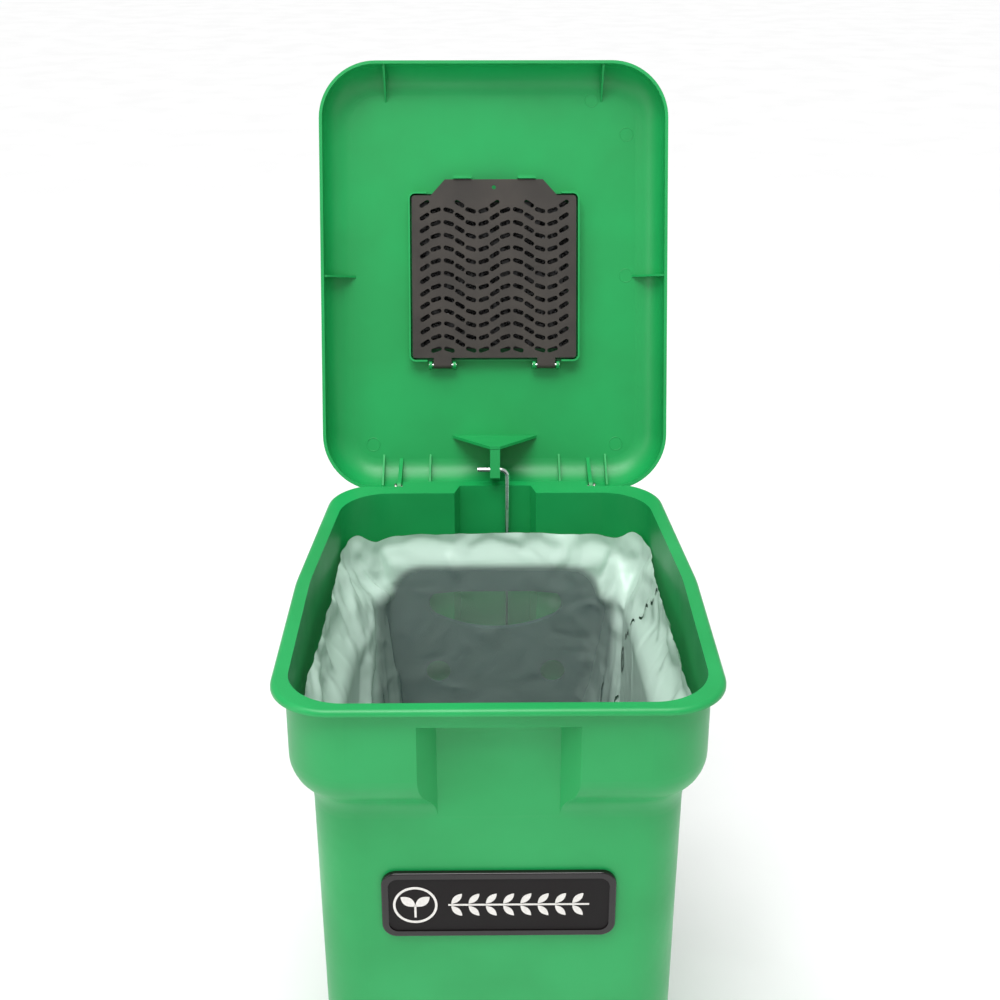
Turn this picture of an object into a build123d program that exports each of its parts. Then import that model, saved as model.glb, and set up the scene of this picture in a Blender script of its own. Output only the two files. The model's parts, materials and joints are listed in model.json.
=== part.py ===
# Tall moulded kitchen waste bin with a hinged filter lid, an inner bucket and a pedal lift rod.
# Units are millimetres. Z is up, the front faces -Y and the origin is on the floor at the middle
# of the base. The lid stands open, leaning back on its stop.
from build123d import *
from math import atan2, cos, degrees, hypot, radians, sin
import os

os.makedirs("parts", exist_ok=True)

# --- Driving dimensions ------------------------------------------------------------------------
rim_height = 460.0
wall = 2.5
flange_thickness = 4.0
rim_roll = 3.2
half_depth = 170.0
rim_half_front = 142.5
rim_half_rear = 130.0
rim_corner = 40.0
flange_width = 8.0

collar_front_y = -163.5
collar_rear_y = 152.5
shoulder_top = 394.0
shoulder_bottom = 377.0
shoulder_radius = 28.0
grip_half_outer = 55.5
grip_half_inner = 38.8
body_inset = 14.0
body_front_y = -149.0
body_rear_y = 146.0
body_corner = 30.0
draft_inset = 3.0
skirt_bottom = 5.0
floor_top = 70.0

channel_half_front = 34.0
channel_half_back = 29.0
channel_front_y = 146.0
channel_back_y = 165.0

lid_lean = 17.2
hinge_y = 173.0
hinge_z = 455.0
barrel_radius = 5.0
hinge_block_half = 75.0
pin_radius = 2.0
lid_half = 141.5
lid_rear = -3.0
lid_front = 346.0
lid_corner = 46.0
lid_edge = -5.5
lid_back = -34.5
lid_cove = 24.0
lid_inner_face = lid_back + wall

eye_s = 16.4
eye_m = 17.0
rod_radius = 2.0
rod_x = 9.8
rod_bend = 6.0
rod_foot_z = 58.0

cover_half = 67.7
cover_low = 106.0
cover_high = 239.5
cover_tab = 252.5
cover_top = -20.0
cover_sheet = 2.0
cover_skirt = 9.0
cover_hinge_s = 100.0
cover_hinge_m = -23.0
slot_rows = 12
slot_pitch = 10.4
slot_length = 9.0
slot_width = 3.6

axle_y = -75.0
axle_z = 40.0
axle_radius = 3.0
lever_rear_y = 155.5
lever_front_y = -172.0

bucket_floor = 87.0
bucket_rim = 376.0
bucket_tab = 403.5
bucket_wall = 2.2

# --- Frames of the open lid ----------------------------------------------------------------------
# Local X runs along the hinge, local Y from the hinge to the lid's free edge, and local Z points
# out of the lid's hollow side.
lean = radians(lid_lean)
lid_plane = Plane(
    origin=(0, hinge_y, hinge_z), x_dir=(1, 0, 0), z_dir=(0, -cos(lean), sin(lean))
)

lid_outward = Axis((0, hinge_y, hinge_z), (0, -cos(lean), sin(lean)))


def lid_point(x, s, m):
    """World place of a point given along the lid: x, distance from the hinge, height."""
    return (
        x,
        hinge_y + s * sin(lean) - m * cos(lean),
        hinge_z + s * cos(lean) + m * sin(lean),
    )


def lid_side_plane(x):
    """Plane across the lid at x: local X runs out along the lid, local Y out of its hollow."""
    return Plane(
        origin=lid_point(x, 0, 0), x_dir=(0, sin(lean), cos(lean)), z_dir=(1, 0, 0)
    )


def tub_outline(front_half, rear_half, front_y, rear_y, corner):
    """Plan outline of the bin: parallel front half, narrowing rear half, rounded corners."""
    with BuildSketch() as sketch:
        with BuildLine():
            Polyline(
                (-front_half, front_y),
                (front_half, front_y),
                (front_half, 0),
                (rear_half, rear_y),
                (-rear_half, rear_y),
                (-front_half, 0),
                close=True,
            )
        make_face()
        corners = [v for v in sketch.vertices() if abs(v.Y) > 1]
        fillet(corners, corner)
        fillet([v for v in sketch.vertices() if abs(v.Y) < 0.1], 200)
    return sketch.sketch


def collar_outline(inset):
    return tub_outline(
        rim_half_front - flange_width - inset,
        rim_half_rear - flange_width - inset,
        collar_front_y + inset,
        collar_rear_y - inset,
        rim_corner - inset,
    )


def body_outline(inset):
    """Outline of the body just below the shoulder."""
    step = body_inset + inset
    return tub_outline(
        rim_half_front - flange_width - step,
        rim_half_rear - flange_width - step,
        body_front_y + inset,
        body_rear_y - inset,
        body_corner - inset,
    )


def base_outline(inset):
    """Outline at the foot of the body, where the draft has taken it in."""
    step = body_inset + draft_inset + inset
    return tub_outline(
        rim_half_front - flange_width - step,
        rim_half_rear - flange_width - step,
        body_front_y + draft_inset + inset,
        body_rear_y - draft_inset - inset,
        body_corner - inset,
    )


def bin_form(inset, bottom_z, top_z):
    """Collar, shoulder and tapered body as one solid, inset from the outer surface."""
    with BuildPart() as form:
        with BuildSketch(Plane.XY.offset(shoulder_top)):
            add(collar_outline(inset))
        extrude(amount=top_z - shoulder_top)
        with BuildSketch(Plane.XY.offset(shoulder_top)):
            add(collar_outline(inset))
        with BuildSketch(Plane.XY.offset(shoulder_bottom)):
            add(body_outline(inset))
        loft(ruled=True)
        with BuildSketch(Plane.XY.offset(shoulder_bottom)):
            add(body_outline(inset))
        with BuildSketch(Plane.XY.offset(bottom_z)):
            add(base_outline(inset))
        loft(ruled=True)
        upper = form.edges().filter_by_position(Axis.Z, shoulder_top - 0.1, shoulder_top + 0.1)
        fillet(upper, shoulder_radius - inset)
        lower = form.edges().filter_by_position(
            Axis.Z, shoulder_bottom - 0.1, shoulder_bottom + 0.1
        )
        fillet(lower, shoulder_radius + inset)
    return form.part


def grip_prism(grow, bottom_z, top_z):
    """Upright prism of the front grip recess, grown by the wall for its backing."""
    with BuildPart() as prism:
        with BuildSketch(Plane.XY.offset(bottom_z)):
            with BuildLine():
                Polyline(
                    (-grip_half_outer - grow, collar_front_y - 6 + 1.1 * grow),
                    (-grip_half_inner - grow, body_front_y + grow),
                    (grip_half_inner + grow, body_front_y + grow),
                    (grip_half_outer + grow, collar_front_y - 6 + 1.1 * grow),
                    close=True,
                )
            make_face()
        extrude(amount=top_z - bottom_z)
    return prism.part


# --- Outer bin -----------------------------------------------------------------------------------
bin_outside = bin_form(0, skirt_bottom, rim_height - flange_thickness)
bin_inside = bin_form(wall, floor_top, rim_height + 1)
grip_top = rim_height - 16
grip_bottom = shoulder_bottom - 24

with BuildPart() as grip_backing:
    add(grip_prism(wall, grip_bottom, grip_top + wall))
    add(bin_outside, mode=Mode.INTERSECT)

with BuildPart() as outer_bin:
    with BuildSketch(Plane.XY.offset(rim_height - flange_thickness)):
        add(tub_outline(rim_half_front, rim_half_rear, -half_depth, half_depth, rim_corner))
    extrude(amount=flange_thickness)
    fillet(outer_bin.faces().sort_by(Axis.Z)[-1].outer_wire().edges(), rim_roll)
    add(bin_outside)
    # Rear spine around the rod channel, and the hinge block under the rear flange.
    with BuildSketch(Plane.XY.offset(skirt_bottom)):
        with BuildLine():
            Polyline(
                (-channel_half_front - wall - 1, channel_front_y - 8),
                (-channel_half_front - wall - 1, channel_front_y),
                (-channel_half_back - wall, channel_back_y + wall),
                (channel_half_back + wall, channel_back_y + wall),
                (channel_half_front + wall + 1, channel_front_y),
                (channel_half_front + wall + 1, channel_front_y - 8),
                close=True,
            )
        make_face()
    extrude(amount=rim_height - flange_thickness - skirt_bottom)
    with BuildSketch(Plane.YZ):
        with BuildLine():
            Polyline(
                (collar_rear_y - 1, hinge_z - barrel_radius - 14),
                (collar_rear_y - 1, rim_height),
                (hinge_y, rim_height),
                (hinge_y, hinge_z - barrel_radius),
                close=True,
            )
        make_face()
        with Locations((hinge_y, hinge_z)):
            Circle(barrel_radius)
    extrude(amount=hinge_block_half, both=True)
    # Hollow down to the floor, the space under it and the rod channel.
    add(bin_inside, mode=Mode.SUBTRACT)
    with BuildSketch(Plane.XY.offset(skirt_bottom)):
        add(base_outline(wall + 0.5))
    extrude(amount=floor_top - wall - skirt_bottom, mode=Mode.SUBTRACT)
    with BuildSketch(Plane.XY.offset(skirt_bottom)):
        with BuildLine():
            Polyline(
                (-channel_half_front, channel_front_y - 10),
                (-channel_half_front, channel_front_y),
                (-channel_half_back, channel_back_y),
                (channel_half_back, channel_back_y),
                (channel_half_front, channel_front_y),
                (channel_half_front, channel_front_y - 10),
                close=True,
            )
        make_face()
    extrude(amount=rim_height - skirt_bottom, mode=Mode.SUBTRACT)
    # Flange cut back beside the hinge block, for the ears of the lid.
    with Locations((110, hinge_y + 1, rim_height), (-110, hinge_y + 1, rim_height)):
        Box(69, 20, 60, mode=Mode.SUBTRACT)
    # Front grip recess, with the wall carried round behind it.
    add(grip_backing.part)
    add(grip_prism(0, grip_bottom - 5, grip_top), mode=Mode.SUBTRACT)
    # Service opening at the foot of the spine, for the rod's foot and the lever's end.
    with Locations((0, channel_back_y + 2, skirt_bottom + 32)):
        Box(30, 14, 66, mode=Mode.SUBTRACT)
    # Pedal opening, foot bosses, screw bosses and the hinge-pin holes.
    with Locations((0, body_front_y + 4, skirt_bottom + 27)):
        Box(76, 24, 56, mode=Mode.SUBTRACT)
    with Locations(
        *[(x, y, floor_top - wall) for x, y in ((-88, -118), (88, -118), (-76, 112), (76, 112))]
    ):
        Cylinder(10, floor_top - wall - skirt_bottom, align=(Align.CENTER, Align.CENTER, Align.MAX))
    with Locations(
        *[(x, y, skirt_bottom) for x, y in ((-88, -118), (88, -118), (-76, 112), (76, 112))]
    ):
        Cylinder(4, 14, align=(Align.CENTER, Align.CENTER, Align.MIN), mode=Mode.SUBTRACT)
    with Locations(*[(x, axle_y + y, floor_top - 1) for x in (-40, 40) for y in (-11, 11)]):
        Cylinder(5, 13, align=(Align.CENTER, Align.CENTER, Align.MIN))
    with Locations(*[(x, axle_y + y, floor_top - wall) for x in (-40, 40) for y in (-11, 11)]):
        Cylinder(1.8, 12, align=(Align.CENTER, Align.CENTER, Align.MIN), mode=Mode.SUBTRACT)
    with Locations(
        Location((70, hinge_y, hinge_z), (0, 90, 0)), Location((-70, hinge_y, hinge_z), (0, 90, 0))
    ):
        Cylinder(pin_radius, 16, mode=Mode.SUBTRACT)
outer_bin.part.label = "outer_bin"
export_step(outer_bin.part, "parts/outer_bin.step")

# --- Lid ------------------------------------------------------------------------------------------
def lid_outline(inset):
    with BuildSketch() as sketch:
        with Locations((0, (lid_rear + lid_front) / 2)):
            RectangleRounded(
                2 * (lid_half - inset), lid_front - lid_rear - 2 * inset, lid_corner - inset
            )
    return sketch.sketch


with BuildPart() as lid_hollow:
    with BuildSketch(lid_plane.offset(lid_inner_face)):
        add(lid_outline(wall))
    extrude(amount=lid_edge - lid_inner_face + 1)
    face_edges = lid_hollow.faces().sort_by(lid_outward)[0].edges()
    fillet(face_edges, lid_cove - wall)

# Room that the lid's inner ribs may fill: up to the middle of its wall, open above.
with BuildPart() as lid_room:
    with BuildSketch(lid_plane.offset(lid_back + 1)):
        add(lid_outline(1))
    extrude(amount=70)
    fillet(lid_room.faces().sort_by(lid_outward)[0].edges(), lid_cove - 1)

gusset_reach = 21.0
rear_gussets = [-93.0, -54.0, 54.0, 93.0]
front_gussets = [-89.0, 89.0]
gusset_thickness = 1.6
side_gusset_s = 174.3
frame_half = cover_half + 1.6
frame_corner = 4.0
rib_foot = 9.8
brace_root = 38.2
brace_tip = 33.2

with BuildPart() as lid_ribs:
    # Thin gussets in the cove along the rear and front edges.
    for x in rear_gussets:
        with BuildSketch(lid_side_plane(x - gusset_thickness / 2)):
            with BuildLine():
                Polyline(
                    (lid_rear + 2, lid_inner_face - 0.5),
                    (lid_rear + 2, lid_inner_face + 22),
                    (lid_rear + 4, lid_inner_face + 22),
                    (lid_rear + gusset_reach + 7, lid_inner_face - 0.5),
                    close=True,
                )
            make_face()
        extrude(amount=gusset_thickness)
    for x in front_gussets:
        with BuildSketch(lid_side_plane(x - gusset_thickness / 2)):
            with BuildLine():
                Polyline(
                    (lid_front - 2.0, lid_inner_face - 0.5),
                    (lid_front - 2.0, lid_edge - 2),
                    (lid_front - 4.5, lid_edge - 2),
                    (lid_front - 30.0, lid_inner_face - 0.5),
                    close=True,
                )
            make_face()
        extrude(amount=gusset_thickness)
    side_plane = Plane(
        origin=lid_point(0, side_gusset_s, 0), x_dir=(1, 0, 0), z_dir=(0, -sin(lean), -cos(lean))
    )
    with BuildSketch(side_plane):
        for side in (-1, 1):
            with BuildLine():
                Polyline(
                    (side * (lid_half - 1.5), lid_inner_face - 0.5),
                    (side * (lid_half - 1.5), lid_edge - 2),
                    (side * (lid_half - 5.0), lid_edge - 2),
                    (side * (lid_half - 27.0), lid_inner_face - 0.5),
                    close=True,
                )
            make_face()
    extrude(amount=gusset_thickness)
    # Lifting rib with the rod's eye, and the triangular plate that braces it.
    with BuildSketch(lid_side_plane(-4)):
        with BuildLine():
            Polyline(
                (lid_rear + 2, lid_inner_face - 0.5),
                (lid_rear + 2, -9),
                (rib_foot, lid_edge),
                (rib_foot, eye_m + 4),
                (brace_tip - 0.3, eye_m + 4),
                (brace_root, lid_inner_face - 0.5),
                close=True,
            )
        make_face()
        with Locations((eye_s, eye_m)):
            Circle(rod_radius + 0.3, mode=Mode.SUBTRACT)
    extrude(amount=8)
    brace_rise = eye_m + 4 - lid_inner_face
    brace_run = brace_root - brace_tip
    brace_plane = Plane(
        origin=lid_point(0, brace_root, lid_inner_face),
        x_dir=(1, 0, 0),
        z_dir=Vector(*lid_point(0, brace_rise, brace_run)) - Vector(*lid_point(0, 0, 0)),
    )
    brace_length = hypot(brace_rise, brace_run)
    with BuildSketch(brace_plane):
        with BuildLine():
            Polyline((-36, 1), (36, 1), (4, -brace_length), (-4, -brace_length), close=True)
        make_face()
    extrude(amount=2.2)
    # Raised frame of the filter, its clips and the lugs of the cover's hinges.
    with BuildSketch(lid_plane.offset(lid_inner_face - 0.5)):
        with Locations((0, (cover_low + cover_high) / 2)):
            RectangleRounded(2 * frame_half + 3, cover_high - cover_low + 6.2, frame_corner + 1.5)
            RectangleRounded(
                2 * frame_half, cover_high - cover_low + 3.2, frame_corner, mode=Mode.SUBTRACT
            )
    extrude(amount=6.5)
    # The frame stands as high as the cover along its sides and round its corners.
    with BuildSketch(lid_plane.offset(lid_inner_face - 0.5)):
        with Locations((0, (cover_low + cover_high) / 2)):
            RectangleRounded(2 * frame_half + 3, cover_high - cover_low + 6.2, frame_corner + 1.5)
            RectangleRounded(
                2 * frame_half, cover_high - cover_low + 3.2, frame_corner, mode=Mode.SUBTRACT
            )
            Rectangle(2 * cover_half - 24, cover_high - cover_low + 12, mode=Mode.SUBTRACT)
    extrude(amount=cover_top - lid_inner_face)
    with BuildSketch(lid_plane.offset(lid_inner_face - 0.5)):
        for x in (-26, 27):
            with Locations((x, cover_tab + 1.8)):
                Rectangle(15, 2.4)
    extrude(amount=cover_top - lid_inner_face + 2.5)
    for x in (-54.2, -34.4, 31.8, 51.6):
        with BuildSketch(lid_side_plane(x)):
            with BuildLine():
                Polyline(
                    (cover_hinge_s - 4, lid_inner_face - 0.5),
                    (cover_hinge_s + 3, lid_inner_face - 0.5),
                    (cover_hinge_s + 3, cover_hinge_m),
                    (cover_hinge_s - 3, cover_hinge_m),
                    close=True,
                )
            make_face()
            with Locations((cover_hinge_s, cover_hinge_m)):
                Circle(3)
                Circle(1.2, mode=Mode.SUBTRACT)
        extrude(amount=2.4)
    add(lid_room.part, mode=Mode.INTERSECT)

with BuildPart() as lid_shell:
    with BuildSketch(lid_plane.offset(lid_back)):
        add(lid_outline(0))
    extrude(amount=lid_edge - lid_back)
    fillet(lid_shell.faces().sort_by(lid_outward)[0].edges(), lid_cove)
    add(lid_hollow.part, mode=Mode.SUBTRACT)
    # Hinge ears around the pins.
    for x in (-hinge_block_half - 5, hinge_block_half + 2):
        with BuildSketch(lid_side_plane(x)):
            with BuildLine():
                Polyline(
                    (-5.2, -2.0),
                    (-3.0, -8.0),
                    (2.9, -11.0),
                    (6.6, -22.3),
                    (14.0, -30.2),
                    (22.0, -33.3),
                    (8.4, -7.0),
                    (5.2, 0.0),
                    close=True,
                )
            make_face()
            Circle(5.5)
            Circle(pin_radius + 0.3, mode=Mode.SUBTRACT)
        extrude(amount=3)
    add(lid_ribs.part)
    # Vent slots through the lid behind the filter.
    with BuildSketch(lid_plane.offset(lid_back - 1)):
        with Locations((0, (cover_low + cover_high) / 2)):
            with GridLocations(16, 24, 7, 5):
                SlotOverall(14, 4, rotation=90)
    extrude(amount=wall + 2, mode=Mode.SUBTRACT)
lid_shell.part.label = "lid_shell"
export_step(lid_shell.part, "parts/lid_shell.step")

# --- Filter cover, its pins and the carbon filter ---------------------------------------------
slot_columns = [-57.2, -48.1, -37.3, -28.3, -19.2, -8.6, 0.5, 9.2, 19.9, 29.0, 38.0, 48.3, 57.6]
slot_angles = [32, 18, -18, -32, -18, 18, 32, 18, -18, -32, -18, 18, 32]
slot_drops = [0 if abs(a) == 32 else 5.4 for a in slot_angles]
first_row = 232.6

with BuildPart() as filter_cover:
    with BuildSketch(lid_plane.offset(cover_top - cover_skirt)):
        with Locations((0, (cover_low + cover_high) / 2)):
            RectangleRounded(2 * cover_half, cover_high - cover_low, 2.5)
            Rectangle(
                2 * (cover_half - 1.8), cover_high - cover_low - 3.6, mode=Mode.SUBTRACT
            )
    extrude(amount=cover_skirt)
    with BuildSketch(lid_plane.offset(cover_top - cover_sheet)):
        with Locations((0, (cover_low + cover_high) / 2)):
            RectangleRounded(2 * cover_half, cover_high - cover_low, 2.5)
        with BuildLine():
            Polyline(
                (-53, cover_high - 1),
                (-40.3, cover_tab),
                (40.3, cover_tab),
                (53, cover_high - 1),
                close=True,
            )
        make_face()
        with Locations((0, 246)):
            Circle(1.7, mode=Mode.SUBTRACT)
        for column, angle, drop in zip(slot_columns, slot_angles, slot_drops):
            for row in range(slot_rows):
                with Locations((column, first_row - drop - row * slot_pitch)):
                    SlotOverall(slot_length, slot_width, rotation=angle, mode=Mode.SUBTRACT)
    extrude(amount=cover_sheet)
    # Knuckles that turn on the pins, on short arms.
    for x in (-50.4, 35.6):
        with BuildSketch(lid_side_plane(x)):
            Polygon(
                (cover_hinge_s, cover_hinge_m + 3),
                (cover_low + 1.5, cover_top),
                (cover_low + 1.5, cover_hinge_m - 1),
                (cover_hinge_s, cover_hinge_m - 1),
                align=None,
            )
            with Locations((cover_hinge_s, cover_hinge_m)):
                Circle(3)
                Circle(1.4, mode=Mode.SUBTRACT)
        extrude(amount=14.8)
filter_cover.part.label = "filter_cover"
export_step(filter_cover.part, "parts/filter_cover.step")

with BuildPart() as filter_hinge_pins:
    for x in (-54.4, 31.6):
        with BuildSketch(lid_side_plane(x)):
            with Locations((cover_hinge_s, cover_hinge_m)):
                Circle(1.2)
        extrude(amount=22.6)
filter_hinge_pins.part.label = "filter_hinge_pins"
export_step(filter_hinge_pins.part, "parts/filter_hinge_pins.step")

with BuildPart() as carbon_filter:
    with BuildSketch(lid_plane.offset(lid_inner_face)):
        with Locations((0, 174)):
            RectangleRounded(126, 124, 4)
    extrude(amount=cover_top - cover_sheet - lid_inner_face - 0.8)
carbon_filter.part.label = "carbon_filter"
export_step(carbon_filter.part, "parts/carbon_filter.step")

# --- Lid hinge pins ------------------------------------------------------------------------------
for side, name in ((-1, "hinge_pin_left"), (1, "hinge_pin_right")):
    pin_plane = Plane(origin=(side * 62, hinge_y, hinge_z), x_dir=(0, 1, 0), z_dir=(side, 0, 0))
    with BuildPart() as hinge_pin:
        with BuildSketch(pin_plane):
            Circle(pin_radius)
        extrude(amount=19)
        with BuildSketch(pin_plane.offset(19)):
            Circle(3.4)
        extrude(amount=1.6)
        fillet(hinge_pin.faces().sort_by(Axis((0, 0, 0), (side, 0, 0)))[-1].edges(), 0.6)
    hinge_pin.part.label = name
    export_step(hinge_pin.part, f"parts/{name}.step")

# --- Lift rod and its retainer -------------------------------------------------------------------
eye = lid_point(0, eye_s, eye_m)
with BuildPart() as lift_rod:
    with BuildLine() as rod_path:
        FilletPolyline(
            (-14.5, eye[1], eye[2]),
            (rod_x, eye[1], eye[2]),
            (rod_x, eye[1], rod_foot_z),
            (-9.0, eye[1], rod_foot_z),
            radius=rod_bend,
        )
    with BuildSketch(Plane(origin=(-14.5, eye[1], eye[2]), x_dir=(0, 1, 0), z_dir=(1, 0, 0))):
        Circle(rod_radius)
    sweep()
    fillet(lift_rod.edges().filter_by(GeomType.CIRCLE).group_by(Axis.X)[0], 0.6)
lift_rod.part.label = "lift_rod"
export_step(lift_rod.part, "parts/lift_rod.step")

with BuildPart() as rod_retainer:
    with BuildSketch(Plane(origin=(-7.4, eye[1], rod_foot_z), x_dir=(0, 1, 0), z_dir=(1, 0, 0))):
        Circle(5)
        Circle(rod_radius, mode=Mode.SUBTRACT)
    extrude(amount=1.4)
rod_retainer.part.label = "rod_retainer"
export_step(rod_retainer.part, "parts/rod_retainer.step")

# --- Pedal lever, axle and their fittings ---------------------------------------------------------
lever_slope = atan2(rod_foot_z - axle_z, lever_rear_y - axle_y)
lever_plane = Plane(
    origin=(0, axle_y, axle_z), x_dir=(0, cos(lever_slope), sin(lever_slope)), z_dir=(1, 0, 0)
)
lever_reach = hypot(rod_foot_z - axle_z, lever_rear_y - axle_y)
toe_reach = (axle_y - lever_front_y) / cos(lever_slope)

with BuildPart() as pedal_lever:
    with BuildSketch(lever_plane.offset(-10)):
        with Locations(((lever_reach - 14 - toe_reach + 24) / 2, 0)):
            Rectangle(lever_reach - 14 + toe_reach - 24, 8)
        Circle(8)
        Circle(5, mode=Mode.SUBTRACT)
    extrude(amount=20)
    # Upright tab with the slotted eye for the rod's foot.
    with BuildSketch(lever_plane.offset(-3)):
        with Locations((lever_reach - 4, 0)):
            RectangleRounded(38, 17, 4)
        with Locations((lever_reach, 0)):
            SlotOverall(20, 9.4, mode=Mode.SUBTRACT)
    extrude(amount=3)
    # Toe plate.
    with BuildSketch(lever_plane.offset(-30)):
        with Locations((-toe_reach + 14, 0)):
            RectangleRounded(28, 5, 1)
    extrude(amount=60)
pedal_lever.part.label = "pedal_lever"
export_step(pedal_lever.part, "parts/pedal_lever.step")

with BuildPart() as pedal_pad:
    with BuildSketch(lever_plane.offset(-28)):
        with Locations((-toe_reach + 12.5, 3.9)):
            Rectangle(21, 2.8)
        with Locations(*[(-toe_reach + 4 + 4.25 * i, 5.8) for i in range(5)]):
            Rectangle(2.2, 1.2)
    extrude(amount=56)
pedal_pad.part.label = "pedal_pad"
export_step(pedal_pad.part, "parts/pedal_pad.step")

with BuildPart() as lever_bushes:
    for x in (-12, 2):
        with BuildSketch(lever_plane.offset(x)):
            Circle(5)
            Circle(axle_radius + 0.15, mode=Mode.SUBTRACT)
        extrude(amount=10)
    for x in (-12, 10.0):
        with BuildSketch(lever_plane.offset(x)):
            Circle(7)
            Circle(4.5, mode=Mode.SUBTRACT)
        extrude(amount=2)
lever_bushes.part.label = "lever_bushes"
export_step(lever_bushes.part, "parts/lever_bushes.step")

axle_plane = Plane(origin=(-42, axle_y, axle_z), x_dir=(0, 1, 0), z_dir=(1, 0, 0))
with BuildPart() as pedal_axle:
    with BuildSketch(axle_plane):
        Circle(axle_radius)
    extrude(amount=84)
    chamfer(pedal_axle.edges().filter_by(GeomType.CIRCLE), 0.5)
pedal_axle.part.label = "pedal_axle"
export_step(pedal_axle.part, "parts/pedal_axle.step")

with BuildPart() as axle_clips:
    for offset_x in (1.5, 81.0):
        with BuildSketch(axle_plane.offset(offset_x)):
            Circle(6)
            Circle(axle_radius, mode=Mode.SUBTRACT)
        extrude(amount=1.5)
axle_clips.part.label = "axle_clips"
export_step(axle_clips.part, "parts/axle_clips.step")

bracket_top = floor_top - wall
with BuildPart() as axle_brackets:
    for side in (-1, 1):
        with BuildSketch(Plane.YZ.offset(side * 29.5 - 1.5)):
            with Locations((axle_y, (bracket_top + axle_z - 8) / 2)):
                Rectangle(30, bracket_top - axle_z + 8)
            with Locations((axle_y, axle_z)):
                Circle(axle_radius + 0.1, mode=Mode.SUBTRACT)
        extrude(amount=3)
        with BuildSketch(Plane.XY.offset(bracket_top - 3)):
            with Locations((side * 38, axle_y)):
                Rectangle(18, 34)
            with Locations((side * 40, axle_y - 11), (side * 40, axle_y + 11)):
                Circle(2.1, mode=Mode.SUBTRACT)
        extrude(amount=3)
axle_brackets.part.label = "axle_brackets"
export_step(axle_brackets.part, "parts/axle_brackets.step")

with BuildPart() as bracket_screws:
    for x in (-40, 40):
        for y in (axle_y - 11, axle_y + 11):
            with BuildSketch(Plane.XY.offset(bracket_top - 5.2)):
                with Locations((x, y)):
                    Circle(3.6)
            extrude(amount=2.2)
            with BuildSketch(Plane.XY.offset(bracket_top - 3)):
                with Locations((x, y)):
                    Circle(1.8)
            extrude(amount=13)
            with BuildSketch(Plane.XY.offset(bracket_top - 5.2)):
                with Locations((x, y)):
                    Rectangle(4.4, 0.9)
                    Rectangle(0.9, 4.4)
            extrude(amount=1.2, mode=Mode.SUBTRACT)
bracket_screws.part.label = "bracket_screws"
export_step(bracket_screws.part, "parts/bracket_screws.step")

with BuildPart() as feet:
    for x, y in ((-88, -118), (88, -118), (-76, 112), (76, 112)):
        with BuildSketch():
            with Locations((x, y)):
                Circle(10)
        extrude(amount=skirt_bottom)
        with BuildSketch(Plane.XY.offset(skirt_bottom)):
            with Locations((x, y)):
                Circle(4)
        extrude(amount=11)
feet.part.label = "feet"
export_step(feet.part, "parts/feet.step")

# --- Inner bucket -----------------------------------------------------------------------------------
def bucket_outline(inset):
    return tub_outline(113 - inset, 104 - inset, -140 + inset, 133 - inset, 28 - inset)


with BuildPart() as inner_bucket:
    with BuildSketch(Plane.XY.offset(bucket_floor)):
        add(bucket_outline(9))
    with BuildSketch(Plane.XY.offset(bucket_rim)):
        add(bucket_outline(0))
    loft(ruled=True)
    # Rolled lip, and the raised rear tab.
    with BuildSketch(Plane.XY.offset(bucket_rim - 3)):
        add(bucket_outline(-2.0))
    extrude(amount=3)
    with BuildSketch(Plane.XZ.offset(-135.0)):
        with Locations((0, (bucket_tab + bucket_rim - 34) / 2)):
            RectangleRounded(166, bucket_tab - bucket_rim + 34, 16)
    extrude(amount=bucket_wall + 2)
    with BuildSketch(Plane.XY.offset(bucket_floor + 2.5)):
        add(bucket_outline(9 + bucket_wall))
    with BuildSketch(Plane.XY.offset(bucket_rim)):
        add(bucket_outline(bucket_wall))
    loft(ruled=True, mode=Mode.SUBTRACT)
    # Two shallow round dimples in the rear wall, and the step below them.
    with BuildSketch(Plane.XZ.offset(-136)):
        with Locations((-47.4, 307.5), (47.4, 307.5)):
            Circle(10)
    extrude(amount=8.4, mode=Mode.SUBTRACT)
    # Smile-shaped hand slot through the tab and the rear wall.
    with BuildSketch(Plane.XZ.offset(-150)):
        with BuildLine():
            Polyline((-50, 379), (-30, 381), (30, 381), (50, 379))
            ThreePointArc((50, 379), (54, 370), (46, 358))
            ThreePointArc((46, 358), (0, 347), (-46, 358))
            ThreePointArc((-46, 358), (-54, 370), (-50, 379))
        make_face()
    extrude(amount=40, mode=Mode.SUBTRACT)
inner_bucket.part.label = "inner_bucket"
export_step(inner_bucket.part, "parts/inner_bucket.step")

# --- Liner bag: hangs inside the bucket and flares out above it -------------------------------------
liner_levels = [
    (bucket_floor + 5, 13.5, 0.0),
    (bucket_rim + 2, 4.2, 0.0),
    (bucket_tab + 2, 3.2, 0.0),
    (433.0, -15.0, 5.0),
]


def liner_outline(grow_in, rear_back, inset):
    return tub_outline(
        113 - grow_in - inset,
        104 - grow_in - inset,
        -140 + max(grow_in, -4) + inset,
        133 - max(grow_in, -2) + rear_back - inset,
        26 - inset,
    )


with BuildPart() as liner_bag:
    for level, grow_in, rear_back in liner_levels:
        with BuildSketch(Plane.XY.offset(level)):
            add(liner_outline(grow_in, rear_back, 0))
    loft(ruled=True)
    for index, (level, grow_in, rear_back) in enumerate(liner_levels):
        with BuildSketch(Plane.XY.offset(level + (1.5 if index == 0 else 0))):
            add(liner_outline(grow_in, rear_back, 1.4))
    loft(ruled=True, mode=Mode.SUBTRACT)
liner_bag.part.label = "liner_bag"
export_step(liner_bag.part, "parts/liner_bag.step")

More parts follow.
